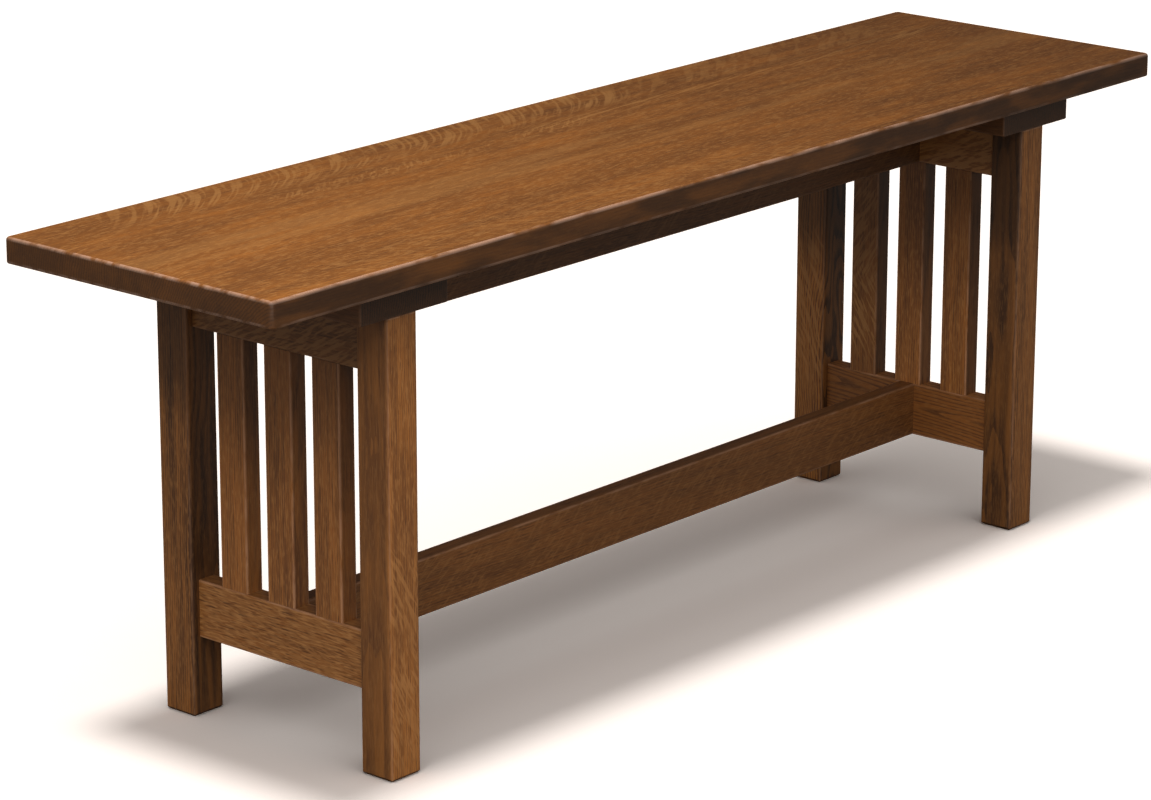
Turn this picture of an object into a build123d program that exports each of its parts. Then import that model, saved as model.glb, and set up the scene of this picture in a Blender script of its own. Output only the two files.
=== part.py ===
from build123d import *
import os

os.makedirs("parts", exist_ok=True)

# Trestle bench with a plank seat on two slatted end frames, joined by two stretchers.
# X runs along the bench, Y from front to back, Z up. The origin is on the floor under the middle.

# Seat
seat_height = 457.0
seat_length = 1236.0
seat_depth = 313.0
seat_thickness = 23.0
seat_corner_round = 5.0
seat_edge_round = 3.0
seat_bottom_edge_round = 1.5
# Width of each seat board from front to back, as a share of the seat's depth
seat_board_shares = [0.26, 0.27, 0.24, 0.23]

# Base, measured over the outer faces of the legs
end_overhang = 152.0
side_overhang = 19.0
leg_section = 37.0
leg_edge_round = 4.5
foot_chamfer = 3.0

# Cleats that carry the seat across each end frame
cleat_thickness = 26.0
cleat_wing = 34.0
cleat_proud = 2.5
cleat_edge_round = 1.5

# Rails and slats of the end frames
bottom_rail_bottom = 73.0
rail_height = 53.0
rail_thickness = 19.0
rail_edge_round = 1.0
slat_width = 32.0
slat_thickness = 18.5
slat_pitch = 56.5
slat_edge_round = 1.5
slats_per_end = 3

# Stretchers between the end frames. The lower one is as high as the rails.
stretcher_thickness = 18.0
stretcher_edge_round = 1.5

# Mortise and tenon joints
joint_fit = 0.15
glue_room = 1.0
mortise_wall = 4.0
rail_tenon_thickness = 8.0
rail_tenon_shoulder = 6.0
rail_tenon_end_wall = 11.0
slat_tenon_thickness = 8.0
slat_tenon_length = 12.0
slat_tenon_shoulder = 3.5
stretcher_tenon_thickness = 10.0
stretcher_tenon_shoulder = 8.0
stretcher_tenon_end_wall = 6.0

# Dowels between legs and cleats
dowel_radius = 5.0
dowel_depth = 12.0
dowel_chamfer = 1.0

# Screws that hold each cleat down on its top rail
hole_fit = 0.1
shank_radius = 2.1
core_radius = 1.6
screw_point = 4.0
drive_recess_width = 2.4
drive_recess_depth = 1.8
cleat_screw_length = 50.0
cleat_screw_head_radius = 4.2
cleat_screw_head_height = 2.6
cleat_screw_sink = 0.5

# Screws and washers that hold the seat, in slots that run across the boards
seat_screw_end_distance = 50.0
seat_screw_length = 32.0
seat_screw_head_radius = 4.4
seat_screw_head_height = 3.0
washer_radius = 6.5
washer_thickness = 1.2
slot_travel = 8.0
slot_side_room = 0.5
slot_recess_depth = 8.0

overrun = 5.0

# Levels and places that follow from the sizes above
seat_bottom = seat_height - seat_thickness
leg_top = seat_bottom - cleat_thickness
top_rail_bottom = leg_top - rail_height
bottom_rail_top = bottom_rail_bottom + rail_height
base_length = seat_length - 2 * end_overhang
base_depth = seat_depth - 2 * side_overhang
frame_x = base_length / 2 - leg_section / 2
leg_y = base_depth / 2 - leg_section / 2
leg_inner_y = base_depth / 2 - leg_section
rail_inner_x = frame_x - rail_thickness / 2
cleat_width = leg_section + 2 * cleat_wing
cleat_length = base_depth + 2 * cleat_proud
wing_x = leg_section / 2 + cleat_wing / 2
slat_mortise_depth = slat_tenon_length + glue_room
dowel_hole_depth = dowel_depth + glue_room
slat_rows = [(index - (slats_per_end - 1) / 2) * slat_pitch for index in range(slats_per_end)]
rail_screw_rows = [-slat_pitch / 2, slat_pitch / 2]
slot_floor = leg_top + slot_recess_depth
seat_screw_head_top = slot_floor - washer_thickness
seat_screw_tip = seat_screw_head_top + seat_screw_length
cleat_screw_top = seat_bottom - cleat_screw_sink
cleat_screw_tip = cleat_screw_top - cleat_screw_length

ENDS = {"left": -1, "right": 1}
SIDES = {"front": -1, "back": 1}
SEAT_BOARDS = ["seat_board_front", "seat_board_front_middle", "seat_board_back_middle", "seat_board_back"]


def write(piece, name):
    """Labels a finished piece and writes it under its own name."""
    piece.part.label = name
    export_step(piece.part, f"parts/{name}.step")


def seat_screw_places(end):
    """Plan positions of the four seat screws in one cleat."""
    screw_y = cleat_length / 2 - seat_screw_end_distance
    return [
        (end * frame_x + wing * wing_x, side * screw_y)
        for wing in (-1, 1)
        for side in SIDES.values()
    ]


def seat_board(name, front, back):
    """One board of the seat: the slab's slice between two glue lines."""
    with BuildPart() as board:
        with BuildSketch(Plane.XY.offset(seat_bottom)):
            RectangleRounded(seat_length, seat_depth, seat_corner_round)
        extrude(amount=seat_thickness)
        fillet(board.faces().sort_by(Axis.Z)[-1].edges(), radius=seat_edge_round)
        fillet(board.faces().sort_by(Axis.Z)[0].edges(), radius=seat_bottom_edge_round)
        # Pilot holes for the seat screws, from below
        with BuildSketch(Plane.XY.offset(seat_bottom)):
            for end in ENDS.values():
                with Locations(*seat_screw_places(end)):
                    Circle(core_radius + hole_fit)
        extrude(amount=seat_screw_tip + glue_room - seat_bottom, mode=Mode.SUBTRACT)
        with BuildSketch(Plane.XY.offset(seat_bottom)):
            with Locations((0, (front + back) / 2)):
                Rectangle(seat_length + overrun, back - front)
        extrude(amount=seat_thickness, mode=Mode.INTERSECT)
    write(board, name)


def leg(name, end, side):
    """One square leg with a mortise for each rail and a dowel hole in its top."""
    mortise_depth = leg_section - rail_tenon_end_wall
    mortise_y = side * (leg_inner_y + mortise_depth / 2 - overrun / 2)
    with BuildPart() as post:
        with BuildSketch():
            with Locations((end * frame_x, side * leg_y)):
                Rectangle(leg_section, leg_section)
        extrude(amount=leg_top)
        chamfer(post.faces().sort_by(Axis.Z)[0].edges(), length=foot_chamfer)
        fillet(post.edges().filter_by(Axis.Z), radius=leg_edge_round)
        for rail_bottom in (bottom_rail_bottom, top_rail_bottom):
            with BuildSketch(Plane.XY.offset(rail_bottom + rail_tenon_shoulder - joint_fit)):
                with Locations((end * frame_x, mortise_y)):
                    Rectangle(rail_tenon_thickness + 2 * joint_fit, mortise_depth + overrun)
            extrude(amount=rail_tenon_height() + 2 * joint_fit, mode=Mode.SUBTRACT)
        with BuildSketch(Plane.XY.offset(leg_top)):
            with Locations((end * frame_x, side * leg_y)):
                Circle(dowel_radius + hole_fit)
        extrude(amount=-dowel_hole_depth, mode=Mode.SUBTRACT)
    write(post, name)


def rail_tenon_height():
    """Height of a rail's tenon, which stays below the dowel hole in the leg's top."""
    top_shoulder = dowel_hole_depth + mortise_wall
    return rail_height - rail_tenon_shoulder - top_shoulder


def stretcher_tenon_levels(upper):
    """Lowest and highest level of a stretcher's tenon, clear of the middle slat's mortise."""
    if upper:
        low = top_rail_bottom + slat_mortise_depth + mortise_wall
        return low, leg_top - stretcher_tenon_shoulder
    low = bottom_rail_bottom + stretcher_tenon_shoulder
    return low, bottom_rail_top - slat_mortise_depth - mortise_wall


def end_rail(name, end, upper):
    """A top or bottom rail: tenons in two legs, mortises for three slats and a stretcher."""
    bottom = top_rail_bottom if upper else bottom_rail_bottom
    slat_mortise_bottom = bottom - overrun if upper else bottom + rail_height - slat_mortise_depth
    tenon_length = leg_section - rail_tenon_end_wall - glue_room
    stretcher_mortise_depth = rail_thickness - stretcher_tenon_end_wall
    stretcher_mortise_x = end * (rail_inner_x + stretcher_mortise_depth / 2 - overrun / 2)
    low, high = stretcher_tenon_levels(upper)
    with BuildPart() as rail:
        with BuildSketch(Plane.XY.offset(bottom)):
            with Locations((end * frame_x, 0)):
                Rectangle(rail_thickness, 2 * leg_inner_y)
        extrude(amount=rail_height)
        fillet(rail.edges().filter_by(Axis.Y), radius=rail_edge_round)
        # Tenons, one bar right through the rail
        with BuildSketch(Plane.XY.offset(bottom + rail_tenon_shoulder)):
            with Locations((end * frame_x, 0)):
                Rectangle(rail_tenon_thickness, 2 * (leg_inner_y + tenon_length))
        extrude(amount=rail_tenon_height())
        with BuildSketch(Plane.XY.offset(slat_mortise_bottom)):
            with Locations(*[(end * frame_x, row) for row in slat_rows]):
                Rectangle(slat_tenon_thickness + 2 * joint_fit, slat_tenon_width() + 2 * joint_fit)
        extrude(amount=slat_mortise_depth + overrun, mode=Mode.SUBTRACT)
        with BuildSketch(Plane.XY.offset(low - joint_fit)):
            with Locations((stretcher_mortise_x, 0)):
                Rectangle(stretcher_mortise_depth + overrun, stretcher_tenon_thickness + 2 * joint_fit)
        extrude(amount=high - low + 2 * joint_fit, mode=Mode.SUBTRACT)
        if upper:
            with BuildSketch(Plane.XY.offset(cleat_screw_tip - glue_room)):
                with Locations(*[(end * frame_x, row) for row in rail_screw_rows]):
                    Circle(core_radius + hole_fit)
            extrude(amount=leg_top - cleat_screw_tip + glue_room + overrun, mode=Mode.SUBTRACT)
    write(rail, name)


def slat_tenon_width():
    """Width of a slat's tenon between its two narrow shoulders."""
    return slat_width - 2 * slat_tenon_shoulder


def slat(name, end, row):
    """One upright slat with a tenon in each rail."""
    with BuildPart() as upright:
        with BuildSketch(Plane.XY.offset(bottom_rail_top)):
            with Locations((end * frame_x, row)):
                RectangleRounded(slat_thickness, slat_width, slat_edge_round)
        extrude(amount=top_rail_bottom - bottom_rail_top)
        with BuildSketch(Plane.XY.offset(bottom_rail_top - slat_tenon_length)):
            with Locations((end * frame_x, row)):
                Rectangle(slat_tenon_thickness, slat_tenon_width())
        extrude(amount=top_rail_bottom - bottom_rail_top + 2 * slat_tenon_length)
    write(upright, name)


def stretcher(name, upper):
    """A long rail between the end frames. The upper one is notched to pass under both cleats."""
    bottom = top_rail_bottom if upper else bottom_rail_bottom
    top = seat_bottom if upper else bottom_rail_top
    tenon_length = rail_thickness - stretcher_tenon_end_wall - glue_room
    low, high = stretcher_tenon_levels(upper)
    with BuildPart() as bar:
        with BuildSketch(Plane.XY.offset(bottom)):
            Rectangle(2 * rail_inner_x, stretcher_thickness)
        extrude(amount=top - bottom)
        long_edges = bar.edges().filter_by(Axis.X).group_by(Axis.Z)
        fillet(long_edges[0], radius=stretcher_edge_round)
        if upper:
            notch_start = frame_x - cleat_width / 2 - joint_fit
            notch_length = rail_inner_x - notch_start + overrun
            with BuildSketch(Plane.XY.offset(leg_top)):
                for end in ENDS.values():
                    with Locations((end * (notch_start + notch_length / 2), 0)):
                        Rectangle(notch_length, stretcher_thickness + overrun)
            extrude(amount=cleat_thickness + overrun, mode=Mode.SUBTRACT)
        else:
            fillet(bar.edges().filter_by(Axis.X).group_by(Axis.Z)[-1], radius=stretcher_edge_round)
        with BuildSketch(Plane.XY.offset(low)):
            Rectangle(2 * (rail_inner_x + tenon_length), stretcher_tenon_thickness)
        extrude(amount=high - low)
    write(bar, name)


def cleat(name, end):
    """The block across an end frame, with dowel holes, sunk screw holes and seat screw slots."""
    slot_radius = shank_radius + slot_side_room
    recess_radius = washer_radius + slot_side_room
    with BuildPart() as block:
        with BuildSketch(Plane.XY.offset(leg_top)):
            with Locations((end * frame_x, 0)):
                Rectangle(cleat_width, cleat_length)
        extrude(amount=cleat_thickness)
        lower_edges = block.faces().sort_by(Axis.Z)[0].edges()
        fillet(block.edges().filter_by(Axis.Z) + lower_edges, radius=cleat_edge_round)
        with BuildSketch(Plane.XY.offset(leg_top)):
            with Locations(*[(end * frame_x, side * leg_y) for side in SIDES.values()]):
                Circle(dowel_radius + hole_fit)
        extrude(amount=dowel_hole_depth, mode=Mode.SUBTRACT)
        with BuildSketch(Plane.XY.offset(leg_top)):
            with Locations(*seat_screw_places(end)):
                SlotCenterToCenter(slot_travel, 2 * slot_radius, rotation=90)
        extrude(amount=cleat_thickness, mode=Mode.SUBTRACT)
        with BuildSketch(Plane.XY.offset(leg_top)):
            with Locations(*seat_screw_places(end)):
                SlotCenterToCenter(slot_travel, 2 * recess_radius, rotation=90)
        extrude(amount=slot_recess_depth, mode=Mode.SUBTRACT)
        # Screw holes down into the top rail, sunk for the heads
        with BuildSketch(Plane.XY.offset(seat_bottom)):
            with Locations(*[(end * frame_x, row) for row in rail_screw_rows]):
                Circle(shank_radius + hole_fit)
        extrude(amount=-cleat_thickness, mode=Mode.SUBTRACT)
        for row in rail_screw_rows:
            with BuildSketch(Plane.XZ.offset(-row)):
                with Locations((end * frame_x, 0)):
                    Polygon(*sunk_head_outline(hole_fit, cleat_screw_sink), align=None)
            revolve(axis=Axis((end * frame_x, row, 0), (0, 0, 1)), mode=Mode.SUBTRACT)
    write(block, name)


def sunk_head_outline(room, rise):
    """Half outline of a countersunk head, grown by a fit and raised above its top by a rise."""
    return [
        (0, cleat_screw_top + rise),
        (cleat_screw_head_radius + room, cleat_screw_top + rise),
        (cleat_screw_head_radius + room, cleat_screw_top),
        (shank_radius + room, cleat_screw_top - cleat_screw_head_height),
        (0, cleat_screw_top - cleat_screw_head_height),
    ]


def cleat_dowels(name, end):
    """The two dowels between a cleat and the legs under it."""
    with BuildPart() as dowels:
        with BuildSketch(Plane.XY.offset(leg_top - dowel_depth)):
            with Locations(*[(end * frame_x, side * leg_y) for side in SIDES.values()]):
                Circle(dowel_radius)
        extrude(amount=2 * dowel_depth)
        chamfer(dowels.edges().filter_by(GeomType.CIRCLE), length=dowel_chamfer)
    write(dowels, name)


def cleat_screws(name, end):
    """The two countersunk screws from a cleat down into its top rail."""
    with BuildPart() as screws:
        for row in rail_screw_rows:
            with BuildSketch(Plane.XZ.offset(-row)):
                with Locations((end * frame_x, 0)):
                    Polygon(
                        (0, cleat_screw_top),
                        (cleat_screw_head_radius, cleat_screw_top),
                        (shank_radius, cleat_screw_top - cleat_screw_head_height),
                        (shank_radius, leg_top),
                        (core_radius, leg_top),
                        (core_radius, cleat_screw_tip + screw_point),
                        (0, cleat_screw_tip),
                        align=None,
                    )
            revolve(axis=Axis((end * frame_x, row, 0), (0, 0, 1)))
        with BuildSketch(Plane.XY.offset(cleat_screw_top)):
            with Locations(*[(end * frame_x, row) for row in rail_screw_rows]):
                Rectangle(drive_recess_width, drive_recess_width)
        extrude(amount=-drive_recess_depth, mode=Mode.SUBTRACT)
    write(screws, name)


def seat_screws(name, end):
    """The four pan-head screws from one cleat's slots up into the seat."""
    head_bottom = seat_screw_head_top - seat_screw_head_height
    with BuildPart() as screws:
        for x, y in seat_screw_places(end):
            with BuildSketch(Plane.XZ.offset(-y)):
                with Locations((x, 0)):
                    Polygon(
                        (0, head_bottom),
                        (seat_screw_head_radius, head_bottom),
                        (seat_screw_head_radius, seat_screw_head_top),
                        (shank_radius, seat_screw_head_top),
                        (shank_radius, seat_bottom),
                        (core_radius, seat_bottom),
                        (core_radius, seat_screw_tip - screw_point),
                        (0, seat_screw_tip),
                        align=None,
                    )
            revolve(axis=Axis((x, y, 0), (0, 0, 1)))
        with BuildSketch(Plane.XY.offset(head_bottom)):
            with Locations(*seat_screw_places(end)):
                Rectangle(drive_recess_width, drive_recess_width)
        extrude(amount=drive_recess_depth, mode=Mode.SUBTRACT)
    write(screws, name)


def seat_washers(name, end):
    """The four washers between the seat screws' heads and the floors of the slots."""
    with BuildPart() as washers:
        with BuildSketch(Plane.XY.offset(seat_screw_head_top)):
            with Locations(*seat_screw_places(end)):
                Circle(washer_radius)
                Circle(shank_radius + hole_fit, mode=Mode.SUBTRACT)
        extrude(amount=washer_thickness)
    write(washers, name)


# The seat, board by board from the front
board_front = -seat_depth / 2
for board_name, board_share in zip(SEAT_BOARDS, seat_board_shares):
    board_back = board_front + board_share * seat_depth
    seat_board(board_name, board_front, board_back)
    board_front = board_back

# Two end frames with their fasteners
for end_name, end_side in ENDS.items():
    for side_name, side_sign in SIDES.items():
        leg(f"leg_{end_name}_{side_name}", end_side, side_sign)
    end_rail(f"top_rail_{end_name}", end_side, upper=True)
    end_rail(f"bottom_rail_{end_name}", end_side, upper=False)
    for number, slat_row in enumerate(slat_rows, start=1):
        slat(f"slat_{end_name}_{number}", end_side, slat_row)
    cleat(f"cleat_{end_name}", end_side)
    cleat_dowels(f"cleat_dowels_{end_name}", end_side)
    cleat_screws(f"cleat_screws_{end_name}", end_side)
    seat_screws(f"seat_screws_{end_name}", end_side)
    seat_washers(f"seat_washers_{end_name}", end_side)

# The two long rails that tie the end frames together
stretcher("lower_stretcher", upper=False)
stretcher("upper_stretcher", upper=True)
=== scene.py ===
"""Dresses a slatted trestle bench of quarter-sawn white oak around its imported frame.

X runs along the bench from its left end to its right, Y from front to back and Z up. Places in the
scene are in metres, and every value whose name ends in _mm is in millimetres.
"""

import logging
import math
from dataclasses import dataclass, replace
from enum import Enum

import bpy
from mathutils import Matrix, Vector


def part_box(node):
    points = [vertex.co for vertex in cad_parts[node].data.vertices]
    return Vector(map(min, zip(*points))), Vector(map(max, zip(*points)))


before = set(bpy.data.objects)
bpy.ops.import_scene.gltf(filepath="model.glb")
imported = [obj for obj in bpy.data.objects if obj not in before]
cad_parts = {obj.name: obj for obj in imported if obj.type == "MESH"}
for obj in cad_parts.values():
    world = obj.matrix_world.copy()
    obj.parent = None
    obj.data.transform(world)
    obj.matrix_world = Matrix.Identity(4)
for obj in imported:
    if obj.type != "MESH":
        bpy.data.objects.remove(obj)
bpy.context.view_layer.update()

log = logging.getLogger("trestle_bench")
MM_PER_M = 1000.0
MATH = "ShaderNodeMath"
VECTOR_MATH = "ShaderNodeVectorMath"
MAP_RANGE = "ShaderNodeMapRange"
# What noise is on average
NOISE_MEAN = 0.5
# Moves one board's noise away from another's, many features apart along each axis
BOARD_STEP_MM = (97.0, 41.0, 29.0)
# Moves one zone of ray flecks away from the next
ZONE_STEP_MM = 331.0

Tree = bpy.types.NodeTree
Socket = bpy.types.NodeSocket
Box = tuple[Vector, Vector]
Colour = tuple[float, float, float, float]
Triple = tuple[float, float, float]
Source = Socket | float | tuple[float, ...]


def linear(hex_colour: str, shade: float = 1.0) -> Colour:
    """Turns an sRGB hex colour to linear light.

    Args:
        hex_colour: Six hex digits after a hash.
        shade: Factor on the linear colour.

    Returns:
        Red, green, blue and an alpha of one.
    """
    channels = [int(hex_colour[start : start + 2], 16) / 255 for start in (1, 3, 5)]
    light = [c / 12.92 if c <= 0.04045 else ((c + 0.055) / 1.055) ** 2.4 for c in channels]
    return (light[0] * shade, light[1] * shade, light[2] * shade, 1.0)


def add_node(
    tree: Tree, kind: str, links: dict[str | int, Source] | None = None, **settings: object
) -> bpy.types.Node:
    """Adds a node with its settings and links.

    Args:
        tree: Node tree that the node joins.
        kind: Blender's identifier of the node.
        links: For each input, an output socket to link or a value to set.
        settings: Values of the node's own properties.

    Returns:
        The new node.
    """
    node = tree.nodes.new(kind)
    for name, value in settings.items():
        setattr(node, name, value)
    for name, source in (links or {}).items():
        if isinstance(source, Socket):
            tree.links.new(source, node.inputs[name])
        else:
            node.inputs[name].default_value = source
    return node


def new_material(name: str) -> tuple[bpy.types.Material, Tree]:
    """Makes an empty material.

    Args:
        name: What the material is and how it was made.

    Returns:
        The material and its node tree.
    """
    material = bpy.data.materials.new(name)
    material.use_nodes = True
    material.node_tree.nodes.clear()
    return material, material.node_tree


class Axis(Enum):
    """An axis of the bench's frame."""

    LENGTH = 0
    DEPTH = 1
    HEIGHT = 2


class End(Enum):
    """An end of the bench, as it is written in the names of the nodes."""

    LEFT = "left"
    RIGHT = "right"


@dataclass(frozen=True)
class Mottle:
    """Irregular soft marks, with a size along the grain, from the pith outwards and along the rings.

    Noise values from the first to the second end of shown rise smoothly from none to the strength.
    Without shown, the noise is kept as it is.
    """

    size_mm: Triple
    detail: float = 1.0
    shown: tuple[float, float] | None = None
    strength: Source = 1.0

    def draw(self, tree: Tree, at: Socket) -> Socket:
        """Draws the marks.

        Args:
            tree: Node tree of the board's material.
            at: Place in the board, in millimetres.

        Returns:
            How strongly the marks show there.
        """
        scaled = add_node(
            tree, VECTOR_MATH, {0: at, 1: tuple(1 / size for size in self.size_mm)}, operation="MULTIPLY"
        )
        noise = add_node(
            tree,
            "ShaderNodeTexNoise",
            {"Vector": scaled.outputs[0], "Scale": 1.0, "Detail": self.detail, "Roughness": 0.5},
        ).outputs[0]
        if self.shown is None:
            return noise
        none, full = self.shown
        return add_node(
            tree,
            MAP_RANGE,
            {"Value": noise, "From Min": none, "From Max": full, "To Max": self.strength},
            interpolation_type="SMOOTHSTEP",
        ).outputs[0]


@dataclass(frozen=True)
class Dashes:
    """Short marks along the grain, such as open pores, or glossy fibres with their sheen painted.

    Real pores are 0.2 to 0.3 mm wide, too fine for a picture of the whole bench, so they are drawn
    a few times wider.
    """

    width_mm: float
    length_mm: float
    strength: float
    threshold: float = 0.52
    softness: float = 0.15

    def marks(self) -> Mottle:
        """Gives the dashes as marks that are long along the grain and round across it."""
        shown = (self.threshold, self.threshold + self.softness)
        return Mottle((self.length_mm, self.width_mm, self.width_mm), 1.0, shown, self.strength)


@dataclass(frozen=True)
class RayFleck:
    """One zone of the ribbons that the medullary rays draw on a board's quarter-sawn face.

    Slant is the ribbons' angle to the grain where the zone ends, and curl lays them flatter per
    millimetre from there inwards. The zone is a span across the grain and the reach one along it,
    both from the middle of the board, and both fade out. More amount gives more and wider ribbons,
    in larger patches. They show where noise is over a limit, which is the first of two values less
    the amount times the second, and are whole an edge further on.
    """

    slant_deg: float
    width_mm: float
    length_mm: float
    amount: float = 0.5
    strength: float = 0.6
    curl: float = 0.0
    zone_mm: tuple[float, float] = (-1000.0, 1000.0)
    reach_mm: tuple[float, float] = (-2000.0, 2000.0)
    fade_mm: float = 12.0
    reach_fades: float = 4.0
    depth_mm: float = 40.0
    patch_mm: Triple = (80.0, 45.0, 60.0)
    ribbon_limit: tuple[float, float] = (0.64, 0.2)
    ribbon_edge: float = 0.13
    patch_limit: tuple[float, float] = (0.41, 0.22)
    patch_edge: float = 0.22

    def ribbons(self) -> Mottle:
        """Gives the ribbons, as wide and long as they are seen on the face."""
        limit = self.ribbon_limit[0] - self.ribbon_limit[1] * self.amount
        size_mm = (self.length_mm, self.width_mm, self.depth_mm)
        return Mottle(size_mm, 1.5, (limit, limit + self.ribbon_edge))

    def patches(self, ribbons: Socket) -> Mottle:
        """Gives the loose patches that the ribbons stand in, as strong as the ribbons."""
        limit = self.patch_limit[0] - self.patch_limit[1] * self.amount
        return Mottle(self.patch_mm, shown=(limit, limit + self.patch_edge), strength=ribbons)


@dataclass(frozen=True)
class Cut:
    """How a board was cut from its log, which sets the figure on each of its faces.

    The pith lies off the board's middle, radially and along the rings, and leans from the grain.
    Towards the far end of its grain a board can be darker, a painted shade for the seat's shadow
    over the frame's tops and for the light falling off along the bench. It goes down to the far
    shade over a span from its middle, on the faces that look along the axes with a far share.
    Noise moves the span by a ragged share of its length.
    """

    grain: Axis
    radial: Axis
    pith_mm: tuple[float, float] = (-150.0, 18.0)
    lean_deg: tuple[float, float] = (0.5, 0.3)
    flecks: tuple[RayFleck, ...] = ()
    far_shade: float = 1.0
    far_mm: tuple[float, float] = (0.0, 200.0)
    far_ragged: float = 0.9
    far_shares: Triple = (1.0, 1.0, 1.0)

    @property
    def tangential(self) -> Axis:
        """Axis along the rings, square to the grain and to the radial axis."""
        return next(axis for axis in Axis if axis not in (self.grain, self.radial))

    @property
    def axes(self) -> tuple[Axis, Axis, Axis]:
        """Axes along the grain, radial and along the rings, in the order of a place in the board."""
        return (self.grain, self.radial, self.tangential)


@dataclass(frozen=True)
class StainedOak:
    """White oak, sawn and planed, stained medium brown and sprayed with satin lacquer.

    The open pores of its early wood soak up stain and read as fine dark dashes along the grain, the
    dense medullary rays take little and read as pale wavy ribbons, the cut ends go darkest, lighter
    dashes paint the sheen of glossy fibres, and the sanded arrises stay lighter, with a painted
    highlight along them as well. The lacquer lies over all of it with a soft, broad sheen, a little
    duller where pores are open and glossier on the rays.

    Early wood is full to one share of a ring's width and has ended at another, and late wood keeps a
    share of the pores. Wet and dry years widen and narrow the rings, uneven wear and a painted
    highlight lighten the arrises, and the painted shade at the far end of a board is dark unevenly.
    """

    light_hex: str = "#a0622c"
    ground_hex: str = "#8f5929"
    dark_hex: str = "#784823"
    pore_hex: str = "#4a2a15"
    ray_hex: str = "#b57c45"
    arris_hex: str = "#c4906b"
    tone: float = 1.0
    tone_spread: float = 0.32
    end_shade: float = 0.42
    end_rings: float = 0.4
    # Flat-sawn faces darken partly for stain and partly as painted shade for sides out of the light
    edge_shade: float = 1.0
    edge_calm: float = 0.35
    blotch: float = 0.0
    blotches: Mottle = Mottle((70.0, 40.0, 16.0), 2.0, (0.38, 0.62))
    # Noise that makes the edge of the painted far shade ragged
    painted_shade_ragging: Mottle = Mottle((110.0, 14.0, 14.0))
    ring_mm: float = 2.6
    ring_strength: float = 0.22
    early_end: float = 0.65
    early_full: float = 0.1
    years: Mottle = Mottle((500.0, 8.0, 8.0))
    wave_mm: float = 14.0
    wave_length_mm: Triple = (170.0, 50.0, 50.0)
    streak_mm: tuple[float, float] = (480.0, 8.0)
    clouds: Mottle = Mottle((190.0, 38.0, 38.0), 2.0)
    cloud_strength: float = 0.9
    # Arrises are lighter for wear and as a painted highlight
    arris_mm: float = 2.2
    arris_strength: float = 0.5
    wear_and_highlight: Mottle = Mottle((26.0, 9.0, 9.0), 2.0, (0.3, 0.62))
    ray_strength: float = 0.6
    pores: tuple[Dashes, ...] = (Dashes(1.2, 26.0, 0.5, 0.54), Dashes(0.9, 8.0, 0.35))
    late_pores: float = 0.5
    # Lighter dashes along the grain: a painted sheen of glossy fibres
    fibre_sheen: Dashes = Dashes(1.1, 10.0, 0.5, 0.5)
    roughness: float = 0.42
    pore_roughness: float = 0.2
    cloud_roughness: float = 0.1
    ray_roughness: float = -0.08
    pore_depth_mm: float = 0.07
    ray_height_mm: float = 0.02

    def material(self, name: str, box: Box, cut: Cut, seed: int) -> bpy.types.Material:
        """Makes the oak of one board.

        Args:
            name: Name of the board.
            box: Lowest and highest corner of the board, in metres.
            cut: How the board was cut from its log.
            seed: Number that makes this board's figure its own.

        Returns:
            The board's material.
        """
        material, tree = new_material(f"quarter_sawn_oak_stained_satin_lacquer.{name}")
        OakFigure(tree, self, cut, box, seed).draw()
        return material


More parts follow.
